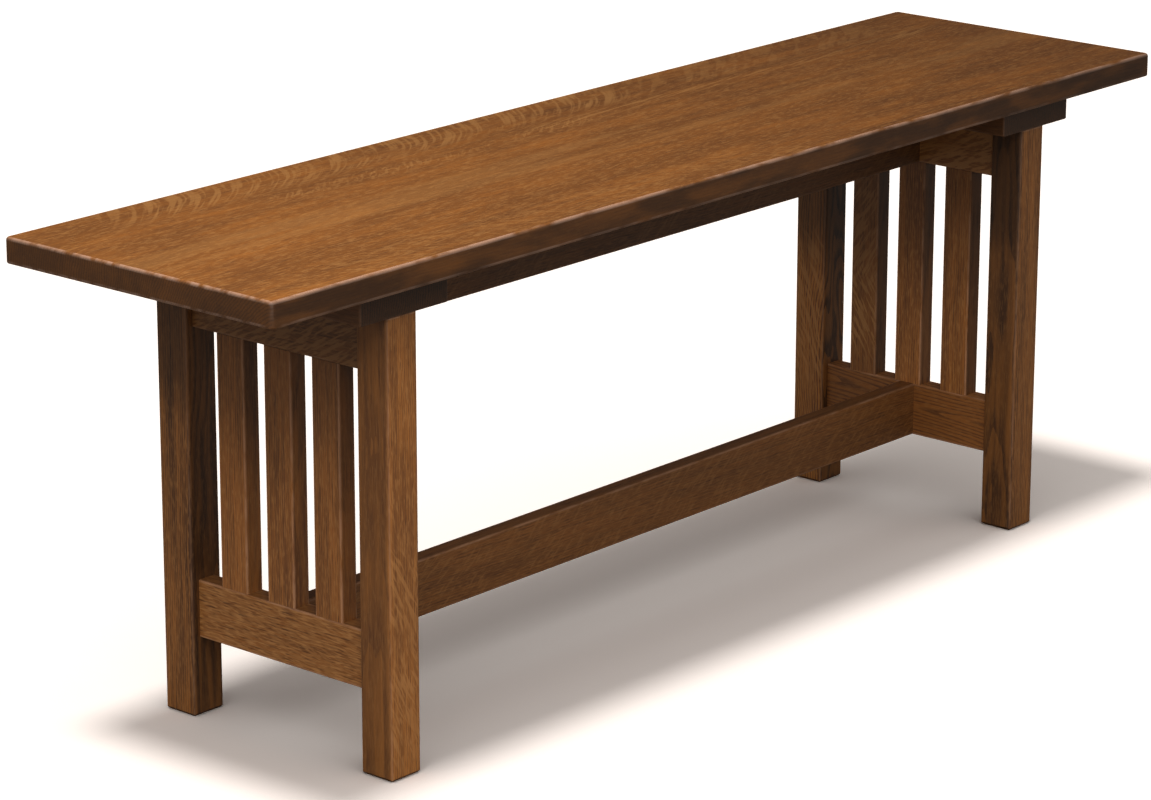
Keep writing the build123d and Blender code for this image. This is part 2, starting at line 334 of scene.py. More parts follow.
class OakFigure:
    """The figure, colour and sheen of one oak board, drawn as nodes of its material.

    A place in the board is counted in millimetres from its middle: along the grain, radially and
    along the rings. Faces hold how far the surface looks along each axis of the bench, and bent is
    the place that follows the grain.
    """

    def __init__(self, tree: Tree, finish: StainedOak, cut: Cut, box: Box, seed: int) -> None:
        """Draws what every part of the figure rests on: the place, the faces and the grain.

        Args:
            tree: Empty node tree of the board's material.
            finish: Colours and strengths of the figure.
            cut: How the board was cut from its log.
            box: Lowest and highest corner of the board, in metres.
            seed: Number that makes this board's figure its own.
        """
        self.tree = tree
        self.finish = finish
        self.cut = cut
        self.box = box
        self.seed = seed
        at = add_node(tree, "ShaderNodeTexCoord").outputs
        normal = at["Normal"]
        self.faces = add_node(tree, VECTOR_MATH, {0: normal, 1: normal}, operation="MULTIPLY").outputs[0]
        sides = add_node(tree, "ShaderNodeSeparateXYZ", {0: self.faces})
        self.quartered = sides.outputs[cut.tangential.value]
        self.place = self._place(at["Object"])
        self.own = add_node(
            tree,
            VECTOR_MATH,
            {0: self.place, 1: tuple(seed * step for step in BOARD_STEP_MM)},
            operation="ADD",
        ).outputs[0]
        self.bent = self._bent()
        self.early_wood = self._early_wood()

    def draw(self) -> None:
        """Draws the board: its stain, its marks, the shade of its faces and its lacquer."""
        tree, finish = self.tree, self.finish
        pores, rays, calm = self._pores(), self._rays(), self._calm()
        clouds = finish.clouds.draw(tree, self.own)
        colour = self._stain(clouds)
        for mark, share, mark_hex in (
            # Lighter fibre dashes: a painted sheen
            (finish.fibre_sheen.marks().draw(tree, self.own), calm, finish.ray_hex),
            (pores, calm, finish.pore_hex),
            (rays, finish.ray_strength, finish.ray_hex),
            # Arrises lighter for wear and a painted highlight
            (self._worn_highlit_arrises(), 1.0, finish.arris_hex),
        ):
            shown = add_node(tree, MATH, {0: mark, 1: share}, operation="MULTIPLY").outputs[0]
            mark_colour = linear(mark_hex, finish.tone)
            colour = add_node(
                tree, "ShaderNodeMix", {0: shown, 6: colour, 7: mark_colour}, data_type="RGBA"
            ).outputs[2]
        # Partly stain and partly painted shade on the faces, then painted shade at the far end
        for shade in (self._face_stain_and_shade(), self._painted_far_shade()):
            colour = add_node(
                tree, VECTOR_MATH, {0: colour, "Scale": shade}, operation="SCALE"
            ).outputs[0]
        self._lacquer(colour, pores, rays, clouds)

    def _place(self, at: Socket) -> Socket:
        """Turns a place in the bench to a place in the board.

        Args:
            at: Place in the bench's frame, in metres.

        Returns:
            Place in the board, in millimetres.
        """
        middle = (self.box[0] + self.box[1]) / 2
        from_middle = add_node(
            self.tree,
            "ShaderNodeMapping",
            {"Vector": at, "Location": tuple(-MM_PER_M * middle), "Scale": (MM_PER_M,) * 3},
        )
        parts = add_node(self.tree, "ShaderNodeSeparateXYZ", {0: from_middle.outputs[0]})
        return add_node(
            self.tree,
            "ShaderNodeCombineXYZ",
            {number: parts.outputs[axis.value] for number, axis in enumerate(self.cut.axes)},
        ).outputs[0]

    def _bent(self) -> Socket:
        """Bends the grain a few millimetres off straight over a hand's length.

        Returns:
            Place in the board that follows the bent grain.
        """
        scale = tuple(1 / size for size in self.finish.wave_length_mm)
        scaled = add_node(self.tree, VECTOR_MATH, {0: self.own, 1: scale}, operation="MULTIPLY")
        noise = add_node(
            self.tree,
            "ShaderNodeTexNoise",
            {"Vector": scaled.outputs[0], "Scale": 1.0, "Detail": 2.0, "Roughness": 0.4},
        )
        # Moved to wave about none
        centred = add_node(
            self.tree, VECTOR_MATH, {0: noise.outputs["Color"], 1: (NOISE_MEAN,) * 3}, operation="SUBTRACT"
        )
        wave_mm = (0.0, self.finish.wave_mm, self.finish.wave_mm)
        return add_node(
            self.tree,
            VECTOR_MATH,
            {0: centred.outputs[0], 1: wave_mm, 2: self.place},
            operation="MULTIPLY_ADD",
        ).outputs[0]

    def _early_wood(self) -> Socket:
        """Draws the early wood of the growth rings.

        Returns:
            One where each ring starts, falling to none before its end.
        """
        tree, finish = self.tree, self.finish
        lean_radial, lean_tangential = (math.radians(lean) for lean in self.cut.lean_deg)
        pith_radial_mm, pith_tangential_mm = self.cut.pith_mm
        from_pith = add_node(
            tree,
            "ShaderNodeMapping",
            {
                "Vector": self.bent,
                "Location": (0.0, -pith_radial_mm, -pith_tangential_mm),
                "Rotation": (0.0, lean_tangential, lean_radial),
            },
        )
        across = add_node(
            tree, VECTOR_MATH, {0: from_pith.outputs[0], 1: (0.0, 1.0, 1.0)}, operation="MULTIPLY"
        )
        distance = add_node(tree, VECTOR_MATH, {0: across.outputs[0]}, operation="LENGTH")
        years = finish.years.draw(tree, self.own)
        rings = add_node(
            tree,
            MATH,
            {0: distance.outputs["Value"], 1: 1 / finish.ring_mm, 2: years},
            operation="MULTIPLY_ADD",
        )
        phase = add_node(tree, MATH, {0: rings.outputs[0]}, operation="FRACT")
        return add_node(
            tree,
            MAP_RANGE,
            {"Value": phase.outputs[0], "From Min": finish.early_end, "From Max": finish.early_full},
            interpolation_type="SMOOTHSTEP",
        ).outputs[0]

    def _pores(self) -> Socket:
        """Draws the open pores, strongest in the early wood.

        Returns:
            How strongly a pore shows.
        """
        late = self.finish.late_pores
        early = add_node(
            self.tree, MATH, {0: self.early_wood, 1: 1 - late, 2: late}, operation="MULTIPLY_ADD"
        )
        total: Source = 0.0
        for dashes in self.finish.pores:
            total = add_node(
                self.tree, MATH, {0: dashes.marks().draw(self.tree, self.own), 1: total}, operation="ADD"
            ).outputs[0]
        return add_node(
            self.tree, MATH, {0: total, 1: early.outputs[0]}, operation="MULTIPLY"
        ).outputs[0]

    def _rays(self) -> Socket:
        """Draws the medullary rays as wavy ribbons across the grain of the quarter-sawn face.

        Returns:
            How strongly a ray shows.
        """
        place = add_node(self.tree, "ShaderNodeSeparateXYZ", {0: self.place}).outputs
        along, radial = place["X"], place["Y"]
        total: Source = 0.0
        for number, fleck in enumerate(self.cut.flecks):
            ribbons = fleck.ribbons().draw(self.tree, self._lain(number, fleck))
            moved = add_node(
                self.tree,
                VECTOR_MATH,
                {0: self.own, 1: (number * ZONE_STEP_MM, 0.0, 0.0)},
                operation="ADD",
            )
            shown = fleck.patches(ribbons).draw(self.tree, moved.outputs[0])
            (zone_low, zone_high), (reach_low, reach_high) = fleck.zone_mm, fleck.reach_mm
            reach_fade = fleck.reach_fades * fleck.fade_mm
            for value, none, full in (
                (radial, zone_low, zone_low + fleck.fade_mm),
                (radial, zone_high + fleck.fade_mm, zone_high),
                (along, reach_low, reach_low + reach_fade),
                (along, reach_high, reach_high - reach_fade),
            ):
                shown = add_node(
                    self.tree,
                    MAP_RANGE,
                    {"Value": value, "From Min": none, "From Max": full, "To Max": shown},
                    interpolation_type="SMOOTHSTEP",
                ).outputs[0]
            total = add_node(
                self.tree, MATH, {0: shown, 1: fleck.strength, 2: total}, operation="MULTIPLY_ADD"
            ).outputs[0]
        return add_node(self.tree, MATH, {0: self.quartered, 1: total}, operation="MULTIPLY").outputs[0]

    def _lain(self, number: int, fleck: RayFleck) -> Socket:
        """Turns and curls the place in the board so that a zone's ribbons lie along its first axis.

        Args:
            number: Number of the zone in its board.
            fleck: The zone.

        Returns:
            Place along and across the ribbons, in millimetres, in a layer of the zone's own.
        """
        tree, slant = self.tree, math.radians(fleck.slant_deg)
        grain = add_node(tree, "ShaderNodeSeparateXYZ", {0: self.bent}).outputs
        inward = add_node(
            tree, MATH, {0: fleck.zone_mm[1], 1: grain["Y"]}, operation="SUBTRACT"
        ).outputs[0]
        lie = add_node(
            tree, MATH, {0: inward, 1: fleck.curl / 2, 2: math.cos(slant)}, operation="MULTIPLY_ADD"
        ).outputs[0]
        rise = add_node(tree, MATH, {0: grain["X"], 1: math.sin(slant)}, operation="MULTIPLY").outputs[0]
        across = add_node(tree, MATH, {0: inward, 1: lie, 2: rise}, operation="MULTIPLY_ADD").outputs[0]
        advance = add_node(
            tree, MATH, {0: grain["X"], 1: math.cos(slant)}, operation="MULTIPLY"
        ).outputs[0]
        run = add_node(
            tree, MATH, {0: inward, 1: -math.sin(slant), 2: advance}, operation="MULTIPLY_ADD"
        ).outputs[0]
        layer = self.seed * BOARD_STEP_MM[2] + number * ZONE_STEP_MM
        return add_node(tree, "ShaderNodeCombineXYZ", {0: run, 1: across, 2: layer}).outputs[0]

    def _calm(self) -> Socket:
        """Calms pores and the painted sheen of fibres on the faces that aren't quarter-sawn.

        Returns:
            One on quarter-sawn faces, less on the others.
        """
        calm = 1.0 - self.finish.edge_calm
        return add_node(
            self.tree, MAP_RANGE, {"Value": self.quartered, "To Min": calm, "To Max": 1.0}
        ).outputs[0]

    def _stain(self, clouds: Socket) -> Socket:
        """Mixes the stain's tones from long streaks, soft clouds and the rings.

        Args:
            clouds: Noise of the clouds.

        Returns:
            The stained ground.
        """
        finish = self.finish
        at = add_node(self.tree, VECTOR_MATH, {0: self.bent, 1: self.own}, operation="ADD").outputs[0]
        length_mm, width_mm = finish.streak_mm
        streaks = Mottle((length_mm, width_mm, width_mm), 3.0).draw(self.tree, at)
        clouded = add_node(
            self.tree, MATH, {0: clouds, 1: finish.cloud_strength, 2: streaks}, operation="MULTIPLY_ADD"
        )
        ringed = add_node(
            self.tree,
            MATH,
            {0: self.early_wood, 1: -finish.ring_strength, 2: clouded.outputs[0]},
            operation="MULTIPLY_ADD",
        )
        # Early wood is about what noise is on average
        middle = NOISE_MEAN * (1.0 + finish.cloud_strength - finish.ring_strength)
        depth = add_node(
            self.tree,
            MAP_RANGE,
            {
                "Value": ringed.outputs[0],
                "From Min": middle - finish.tone_spread,
                "From Max": middle + finish.tone_spread,
            },
        )
        ramp = add_node(self.tree, "ShaderNodeValToRGB", {0: depth.outputs[0]})
        stops = ramp.color_ramp.elements
        stops[0].color = linear(finish.dark_hex, finish.tone)
        stops[1].color = linear(finish.light_hex, finish.tone)
        stops.new(0.5).color = linear(finish.ground_hex, finish.tone)
        return ramp.outputs[0]

    def _worn_highlit_arrises(self) -> Socket:
        """Draws the arrises lighter, where sanding has thinned the stain, and as a painted highlight.

        Returns:
            How much an arris shows, none away from it.
        """
        tree, finish = self.tree, self.finish
        size_mm = (self.box[1] - self.box[0]) * MM_PER_M
        half_mm = [size_mm[axis.value] / 2 for axis in self.cut.axes]
        beside = add_node(tree, VECTOR_MATH, {0: self.place}, operation="ABSOLUTE")
        outward = add_node(
            tree,
            VECTOR_MATH,
            {
                0: beside.outputs[0],
                1: (1 / finish.arris_mm,) * 3,
                2: tuple(1 - half / finish.arris_mm for half in half_mm),
            },
            operation="MULTIPLY_ADD",
        )
        near = add_node(tree, VECTOR_MATH, {0: outward.outputs[0], 1: (0.0,) * 3}, operation="MAXIMUM")
        sides = add_node(tree, "ShaderNodeSeparateXYZ", {0: near.outputs[0]}).outputs
        # Near one side times near the next, which only an arris has
        total: Source = 0.0
        for first, second in (("X", "Y"), ("Y", "Z"), ("Z", "X")):
            total = add_node(
                tree, MATH, {0: sides[first], 1: sides[second], 2: total}, operation="MULTIPLY_ADD"
            ).outputs[0]
        uneven = replace(finish.wear_and_highlight, strength=finish.arris_strength).draw(tree, self.own)
        return add_node(
            tree,
            MAP_RANGE,
            {"Value": total, "From Min": 0.02, "From Max": 0.3, "To Max": uneven},
            interpolation_type="SMOOTHSTEP",
        ).outputs[0]

    def _face_stain_and_shade(self) -> Socket:
        """Darkens the faces that soak up more stain: flat-sawn ones in blotches, ends along the rings.

        The flat-sawn faces are darkened partly as painted shade too, for sides out of the light.

        Returns:
            Factor on the colour.
        """
        finish, cut = self.finish, self.cut
        patches = finish.blotches.draw(self.tree, self.own)
        plain, blotches, rings = [0.0] * 3, [0.0] * 3, [0.0] * 3
        plain[cut.grain.value] = finish.end_shade
        # The edge shade is partly stain and partly painted shade for sides out of the light
        plain[cut.radial.value] = finish.edge_shade * (1.0 - NOISE_MEAN * finish.blotch)
        plain[cut.tangential.value] = 1.0
        blotches[cut.radial.value] = finish.edge_shade * finish.blotch
        rings[cut.grain.value] = -finish.end_shade * finish.end_rings
        shade: Source = 0.0
        for shares, amount in ((plain, 1.0), (blotches, patches), (rings, self.early_wood)):
            share = add_node(
                self.tree, VECTOR_MATH, {0: self.faces, 1: tuple(shares)}, operation="DOT_PRODUCT"
            )
            shade = add_node(
                self.tree,
                MATH,
                {0: share.outputs["Value"], 1: amount, 2: shade},
                operation="MULTIPLY_ADD",
            ).outputs[0]
        return shade

    def _painted_far_shade(self) -> Socket:
        """Darkens a board unevenly towards the far end of its grain, as painted shade.

        Returns:
            Factor on the colour.
        """
        cut = self.cut
        along = add_node(self.tree, "ShaderNodeSeparateXYZ", {0: self.place}).outputs["X"]
        uneven = self.finish.painted_shade_ragging.draw(self.tree, self.own)
        ragged_mm = cut.far_ragged * (cut.far_mm[1] - cut.far_mm[0])
        moved = add_node(self.tree, MATH, {0: uneven, 1: ragged_mm, 2: along}, operation="MULTIPLY_ADD")
        share = add_node(
            self.tree, VECTOR_MATH, {0: self.faces, 1: cut.far_shares}, operation="DOT_PRODUCT"
        ).outputs["Value"]
        start_mm, end_mm = (edge + NOISE_MEAN * ragged_mm for edge in cut.far_mm)
        far = add_node(
            self.tree,
            MAP_RANGE,
            {"Value": moved.outputs[0], "From Min": start_mm, "From Max": end_mm, "To Max": share},
            interpolation_type="SMOOTHSTEP",
        ).outputs[0]
        return add_node(
            self.tree, MATH, {0: far, 1: cut.far_shade - 1.0, 2: 1.0}, operation="MULTIPLY_ADD"
        ).outputs[0]

    def _lacquer(self, colour: Socket, pores: Socket, rays: Socket, clouds: Socket) -> None:
        """Lays the satin lacquer over the board, sunk in the pores and proud on the rays.

        Args:
            colour: The board's colour.
            pores: How strongly a pore shows.
            rays: How strongly a ray shows.
            clouds: Noise of the clouds.
        """
        tree, finish = self.tree, self.finish
        rough: Source = finish.roughness
        for share, gain in (
            (pores, finish.pore_roughness),
            (clouds, finish.cloud_roughness),
            (rays, finish.ray_roughness),
        ):
            rough = add_node(
                tree, MATH, {0: share, 1: gain, 2: rough}, operation="MULTIPLY_ADD"
            ).outputs[0]
        height: Source = 0.0
        for share, height_mm in ((pores, -finish.pore_depth_mm), (rays, finish.ray_height_mm)):
            height = add_node(
                tree, MATH, {0: share, 1: height_mm, 2: height}, operation="MULTIPLY_ADD"
            ).outputs[0]
        bump = add_node(
            tree, "ShaderNodeBump", {"Strength": 1.0, "Distance": 1 / MM_PER_M, "Height": height}
        )
        shader = add_node(
            tree,
            "ShaderNodeBsdfPrincipled",
            {"Base Color": colour, "Roughness": rough, "IOR": 1.5, "Normal": bump.outputs[0]},
        )
        add_node(tree, "ShaderNodeOutputMaterial", {"Surface": shader.outputs[0]})


@dataclass(frozen=True)
class TurnedBeech:
    """Beech dowel rod, turned and left bare: dull, pale pink brown, with short darker flecks."""

    ground_hex: str = "#d8b48a"
    fleck_hex: str = "#a97c55"
    fleck_mm: Triple = (0.5, 0.5, 2.5)
    fleck_shown: tuple[float, float] = (0.55, 0.75)
    roughness: float = 0.6

    def material(self) -> bpy.types.Material:
        """Makes the dowels' material.

        Returns:
            The material, with its flecks along the upright dowels.
        """
        material, tree = new_material("turned_bare_beech")
        at = add_node(tree, "ShaderNodeTexCoord").outputs["Object"]
        scaled = add_node(
            tree,
            VECTOR_MATH,
            {0: at, 1: tuple(MM_PER_M / size for size in self.fleck_mm)},
            operation="MULTIPLY",
        )
        noise = add_node(
            tree, "ShaderNodeTexNoise", {"Vector": scaled.outputs[0], "Scale": 1.0, "Detail": 1.0}
        )
        none, full = self.fleck_shown
        share = add_node(
            tree, MAP_RANGE, {"Value": noise.outputs[0], "From Min": none, "From Max": full}
        )
        colour = add_node(
            tree,
            "ShaderNodeMix",
            {0: share.outputs[0], 6: linear(self.ground_hex), 7: linear(self.fleck_hex)},
            data_type="RGBA",
        )
        shader = add_node(
            tree, "ShaderNodeBsdfPrincipled", {"Base Color": colour.outputs[2], "Roughness": self.roughness}
        )
        add_node(tree, "ShaderNodeOutputMaterial", {"Surface": shader.outputs[0]})
        return material


@dataclass(frozen=True)
class ZincPlatedSteel:
    """Steel screws and washers, rolled and zinc plated: a cool grey shine with a faint mottle."""

    bright_hex: str = "#c3c6c8"
    dull_hex: str = "#9a9d9e"
    bloom_mm: float = 1.5
    roughness: tuple[float, float] = (0.26, 0.42)

    def material(self) -> bpy.types.Material:
        """Makes the fasteners' material.

        Returns:
            The material, with the plating's blooms.
        """
        material, tree = new_material("zinc_plated_rolled_steel")
        at = add_node(tree, "ShaderNodeTexCoord").outputs["Object"]
        bloom = add_node(
            tree, "ShaderNodeTexNoise", {"Vector": at, "Scale": MM_PER_M / self.bloom_mm, "Detail": 3.0}
        ).outputs[0]
        colour = add_node(
            tree,
            "ShaderNodeMix",
            {0: bloom, 6: linear(self.bright_hex), 7: linear(self.dull_hex)},
            data_type="RGBA",
        )
        smooth, rough = self.roughness
        roughness = add_node(tree, MAP_RANGE, {"Value": bloom, "To Min": smooth, "To Max": rough})
        shader = add_node(
            tree,
            "ShaderNodeBsdfPrincipled",
            {"Base Color": colour.outputs[2], "Metallic": 1.0, "Roughness": roughness.outputs[0]},
        )
        add_node(tree, "ShaderNodeOutputMaterial", {"Surface": shader.outputs[0]})
        return material


@dataclass
class Piece:
    """One oak board of the bench: its node, its cut and its finish.

    A box of its own, in place of its node's, lets its figure run on from its neighbour's.
    """

    node: str
    cut: Cut
    finish: StainedOak
    seed: int
    box: Box | None = None

    def dress(self) -> None:
        """Gives the board its own oak."""
        box = self.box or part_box(self.node)
        material = self.finish.material(self.node, box, self.cut, self.seed)
        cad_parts[self.node].material_slots[0].material = material
        log.info("dressed %s", self.node)


@dataclass
class Seat:
    """The plank seat: four boards, matched and glued edge to edge.

    Its figure, from front to back, is short diagonal flecks, a pale band in the middle, long low
    flecks and rows of wide ribbons that curl towards the back edge.
    """

    boards: tuple[str, ...] = ("front", "front_middle", "back_middle", "back")
    tones: tuple[float, ...] = (0.96, 1.01, 1.0, 0.96)
    seed: int = 3
    finish: StainedOak = StainedOak(
        light_hex="#ad6826",
        ground_hex="#925823",
        dark_hex="#7a481d",
        ray_hex="#c4884a",
        arris_hex="#d0a184",
        edge_shade=0.3,
        edge_calm=0.7,
        blotch=0.65,
        end_shade=0.27,
        end_rings=0.25,
        ring_strength=0.12,
        arris_mm=3.2,
        arris_strength=0.8,
        streak_mm=(170.0, 20.0),
        tone_spread=0.44,
        pores=(Dashes(1.8, 26.0, 0.38, 0.56), Dashes(1.3, 8.0, 0.3)),
        fibre_sheen=Dashes(1.6, 9.0, 0.42, 0.5),
    )
    flecks: tuple[RayFleck, ...] = (
        RayFleck(72.0, 6.0, 60.0, amount=0.85, strength=0.85, curl=0.02, zone_mm=(92.0, 156.0),
                 reach_mm=(-560.0, 170.0), fade_mm=20.0),
        RayFleck(50.0, 10.0, 60.0, amount=0.9, strength=0.5, curl=0.01, zone_mm=(90.0, 156.0),
                 reach_mm=(40.0, 560.0), fade_mm=16.0),
        RayFleck(36.0, 3.0, 14.0, amount=0.7, strength=0.7, zone_mm=(58.0, 80.0), reach_mm=(-400.0, 60.0)),
        RayFleck(7.0, 4.0, 70.0, amount=0.7, strength=0.9, zone_mm=(64.0, 84.0), reach_mm=(-60.0, 618.0)),
        RayFleck(-36.0, 3.4, 22.0, amount=0.7, strength=0.5, zone_mm=(-156.0, -112.0),
                 reach_mm=(-618.0, 100.0)),
        RayFleck(1.5, 22.0, 300.0, amount=1.4, strength=0.4, zone_mm=(-30.0, 16.0), fade_mm=10.0),
    )

    def dress(self) -> None:
        """Dresses each board from front to back, with one figure over the whole seat."""
        nodes = [f"seat_board_{board}" for board in self.boards]
        lows, highs = zip(*(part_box(node) for node in nodes), strict=True)
        whole = (Vector(map(min, *lows)), Vector(map(max, *highs)))
        # The far shade paints the light falling off towards the seat's right end
        cut = Cut(
            Axis.LENGTH,
            Axis.DEPTH,
            pith_mm=(-190.0, -60.0),
            flecks=self.flecks,
            far_shade=0.76,
            far_mm=(-100.0, 650.0),
        )
        for node, tone in zip(nodes, self.tones, strict=True):
            Piece(node, cut, replace(self.finish, tone=tone), self.seed, whole).dress()


@dataclass
class EndFrame:
    """One slatted end: two legs, two rails, three slats and the cleat over them."""

    end: End
    first_seed: int
    cleat_seed: int = 70
    finish: StainedOak = StainedOak()

    @property
    def is_left(self) -> bool:
        """Whether this is the left end."""
        return self.end is End.LEFT

    def dress(self) -> None:
        """Dresses every board of this end, each with a seed of its own, and the cleat."""
        boards = self._legs() | self._rails() | self._slats()
        for seed, (name, (cut, finish)) in enumerate(boards.items(), start=self.first_seed):
            Piece(name, cut, finish, seed).dress()
        # The cleat lies in the seat's shadow, which is painted into its colour as a dark tone, so it reads
        # almost black
        painted_shade_finish = replace(self.finish, tone=0.42)
        Piece(f"cleat_{self.end.value}", Cut(Axis.DEPTH, Axis.LENGTH), painted_shade_finish, self.cleat_seed).dress()

    def _legs(self) -> dict[str, tuple[Cut, StainedOak]]:
        """Chooses the legs' cuts and finishes: dark streaks, dark tops, and flames low on two of them.

        The dark tops are painted shade for the seat's shadow, and the darker sides partly so.

        Returns:
            The cut and the finish of each leg, by its node.
        """
        flames = RayFleck(-28.0, 3.4, 24.0, amount=0.8, strength=1.0, reach_mm=(-210.0, 60.0))
        banded = replace(
            self.finish,
            dark_hex="#5c381b",
            light_hex="#a96a30",
            streak_mm=(330.0, 10.0),
            cloud_strength=0.6,
            tone_spread=0.24,
            arris_strength=0.7,
        )
        # The far shades paint the seat's shadow over the legs' tops
        front = Cut(Axis.HEIGHT, Axis.LENGTH)
        back = Cut(Axis.HEIGHT, Axis.DEPTH, far_shade=0.42, far_mm=(50.0, 110.0))
        if self.is_left:
            return {
                "leg_left_front": (
                    replace(front, flecks=(flames,), far_shade=0.75, far_mm=(120.0, 200.0)),
                    replace(banded, dark_hex="#7d4c24", edge_shade=0.58, tone=1.22),
                ),
                "leg_left_back": (
                    replace(back, far_shares=(1.0, 0.0, 1.0)),
                    replace(banded, edge_shade=0.54, tone=0.88),
                ),
            }
        licks = replace(flames, slant_deg=24.0, reach_mm=(-120.0, 90.0))
        return {
            "leg_right_front": (
                replace(front, far_shade=0.4, far_mm=(60.0, 110.0), far_shares=(1.0, 0.0, 1.0)),
                replace(banded, edge_shade=0.7, tone=0.83),
            ),
            "leg_right_back": (
                replace(back, flecks=(licks,), far_shade=0.38, far_mm=(0.0, 80.0)),
                replace(banded, edge_shade=0.46, wave_mm=30.0, ring_strength=0.5, tone=1.15),
            ),
        }

    def _rails(self) -> dict[str, tuple[Cut, StainedOak]]:
        """Chooses the rails' cuts and finishes: curls on top, wavy grain left and arched rings right.

        Returns:
            The cut and the finish of each rail, by its node.
        """
        wisps = RayFleck(10.0, 1.8, 12.0, amount=1.0, strength=0.7)
        curls = replace(wisps, slant_deg=-24.0, width_mm=3.0, length_mm=18.0, strength=1.7)
        quartered = Cut(Axis.DEPTH, Axis.HEIGHT)
        curly = replace(quartered, flecks=(curls,))
        if self.is_left:
            wavy = replace(
                self.finish,
                wave_mm=22.0,
                tone=0.92,
                edge_shade=0.68,
                cloud_strength=0.4,
                pores=(Dashes(1.6, 18.0, 0.7, 0.5),),
                fibre_sheen=Dashes(1.6, 13.0, 1.0, 0.48),
            )
            return {
                # The left top rail's low tone is painted shade, for the seat's overhang above it
                "top_rail_left": (curly, replace(self.finish, tone=0.47)),
                "bottom_rail_left": (replace(quartered, flecks=(wisps,)), wavy),
            }
        return {
            "top_rail_right": (curly, replace(self.finish, tone=0.78)),
            "bottom_rail_right": (
                Cut(Axis.DEPTH, Axis.LENGTH, pith_mm=(-16.0, 6.0), lean_deg=(0.6, 3.5)),
                replace(self.finish, ring_mm=3.4, ring_strength=1.0, edge_shade=0.9),
            ),
        }

    def _slats(self) -> dict[str, tuple[Cut, StainedOak]]:
        """Chooses the slats' cuts and finishes: fine lines, dark tops and flames on one at the right.

        The dark tops are painted shade for the seat's shadow, and so are the right slats' darker sides.

        Returns:
            The cut and the finish of each slat, by its node, from the front one back.
        """
        lined = replace(
            self.finish,
            # The right slats' sides go darker as painted shade
            edge_shade=0.82 if self.is_left else 0.48,
            tone_spread=0.24,
            pores=(Dashes(1.5, 44.0, 0.6, 0.54), Dashes(0.9, 9.0, 0.35)),
        )
        # The far shade paints the seat's shadow over the slats' tops
        plain = Cut(Axis.HEIGHT, Axis.DEPTH, far_shade=0.58, far_mm=(-50.0, 70.0))
        low_flames = RayFleck(32.0, 3.0, 20.0, amount=0.9, strength=2.0, reach_mm=(-115.0, 10.0))
        high_flames = replace(low_flames, slant_deg=-32.0, strength=1.2, reach_mm=(-40.0, 115.0))
        flamed = replace(plain, flecks=(low_flames, high_flames))
        cuts = (plain, plain, plain if self.is_left else flamed)
        tones = (1.01, 1.07, 1.05) if self.is_left else (1.2, 1.36, 0.9)
        return {
            f"slat_{self.end.value}_{number}": (cut, replace(lined, tone=tone))
            for number, (cut, tone) in enumerate(zip(cuts, tones, strict=True), start=1)
        }


@dataclass
class Stretchers:
    """The two long rails that tie the end frames together."""

    finish: StainedOak = StainedOak(tone=0.76, edge_shade=0.78)
    painted_shade_tone: float = 0.43
    lower_seed: int = 61
    upper_seed: int = 67

    def dress(self) -> None:
        """Dresses the lower stretcher and the upper one, whose colour is darkened to a painted shade for
        the seat's shadow.
        """
        wisps = RayFleck(40.0, 3.0, 20.0, amount=0.6, strength=0.6)
        # The far shade paints the light falling off towards the right end
        cut = Cut(Axis.LENGTH, Axis.HEIGHT, flecks=(wisps,), far_shade=0.78, far_mm=(-300.0, 100.0))
        painted_shade_finish = replace(self.finish, tone=self.painted_shade_tone)
        Piece("lower_stretcher", cut, self.finish, self.lower_seed).dress()
        Piece("upper_stretcher", cut, painted_shade_finish, self.upper_seed).dress()


@dataclass
class Fasteners:
    """The hidden dowels, screws and washers."""

    beech: TurnedBeech = TurnedBeech()
    steel: ZincPlatedSteel = ZincPlatedSteel()

    def dress(self) -> None:
        """Gives the dowels bare beech, and the screws and washers plated steel."""
        beech, steel = self.beech.material(), self.steel.material()
        kinds = {"cleat_dowels": beech, "cleat_screws": steel, "seat_screws": steel, "seat_washers": steel}
        for end in End:
            for kind, material in kinds.items():
                node = f"{kind}_{end.value}"
                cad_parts[node].material_slots[0].material = material
                log.info("dressed %s", node)


@dataclass(frozen=True)
class Softbox:
    """A soft square lamp that points at the bench."""

    name: str
    place: Triple
    side: float
    light: float
    target: Triple = (0.0, 0.0, 0.3)

    def build(self, lit: bpy.types.Collection) -> None:
        """Makes the lamp, as strong at its target as its light says, where one is a plain level.

        Args:
            lit: What the lamp lights.
        """
        lamp = bpy.data.lights.new(self.name, "AREA")
        lamp.shape = "SQUARE"
        lamp.size = self.side
        aim = Vector(self.target) - Vector(self.place)
        lamp.energy = self.light * (math.pi * aim.length) ** 2
        holder = bpy.data.objects.new(self.name, lamp)
        holder.location = self.place
        holder.rotation_euler = aim.to_track_quat("-Z", "Y").to_euler()
        holder.visible_camera = False
        holder.light_linking.receiver_collection = lit
        bpy.context.scene.collection.objects.link(holder)
        log.info("built %s", self.name)


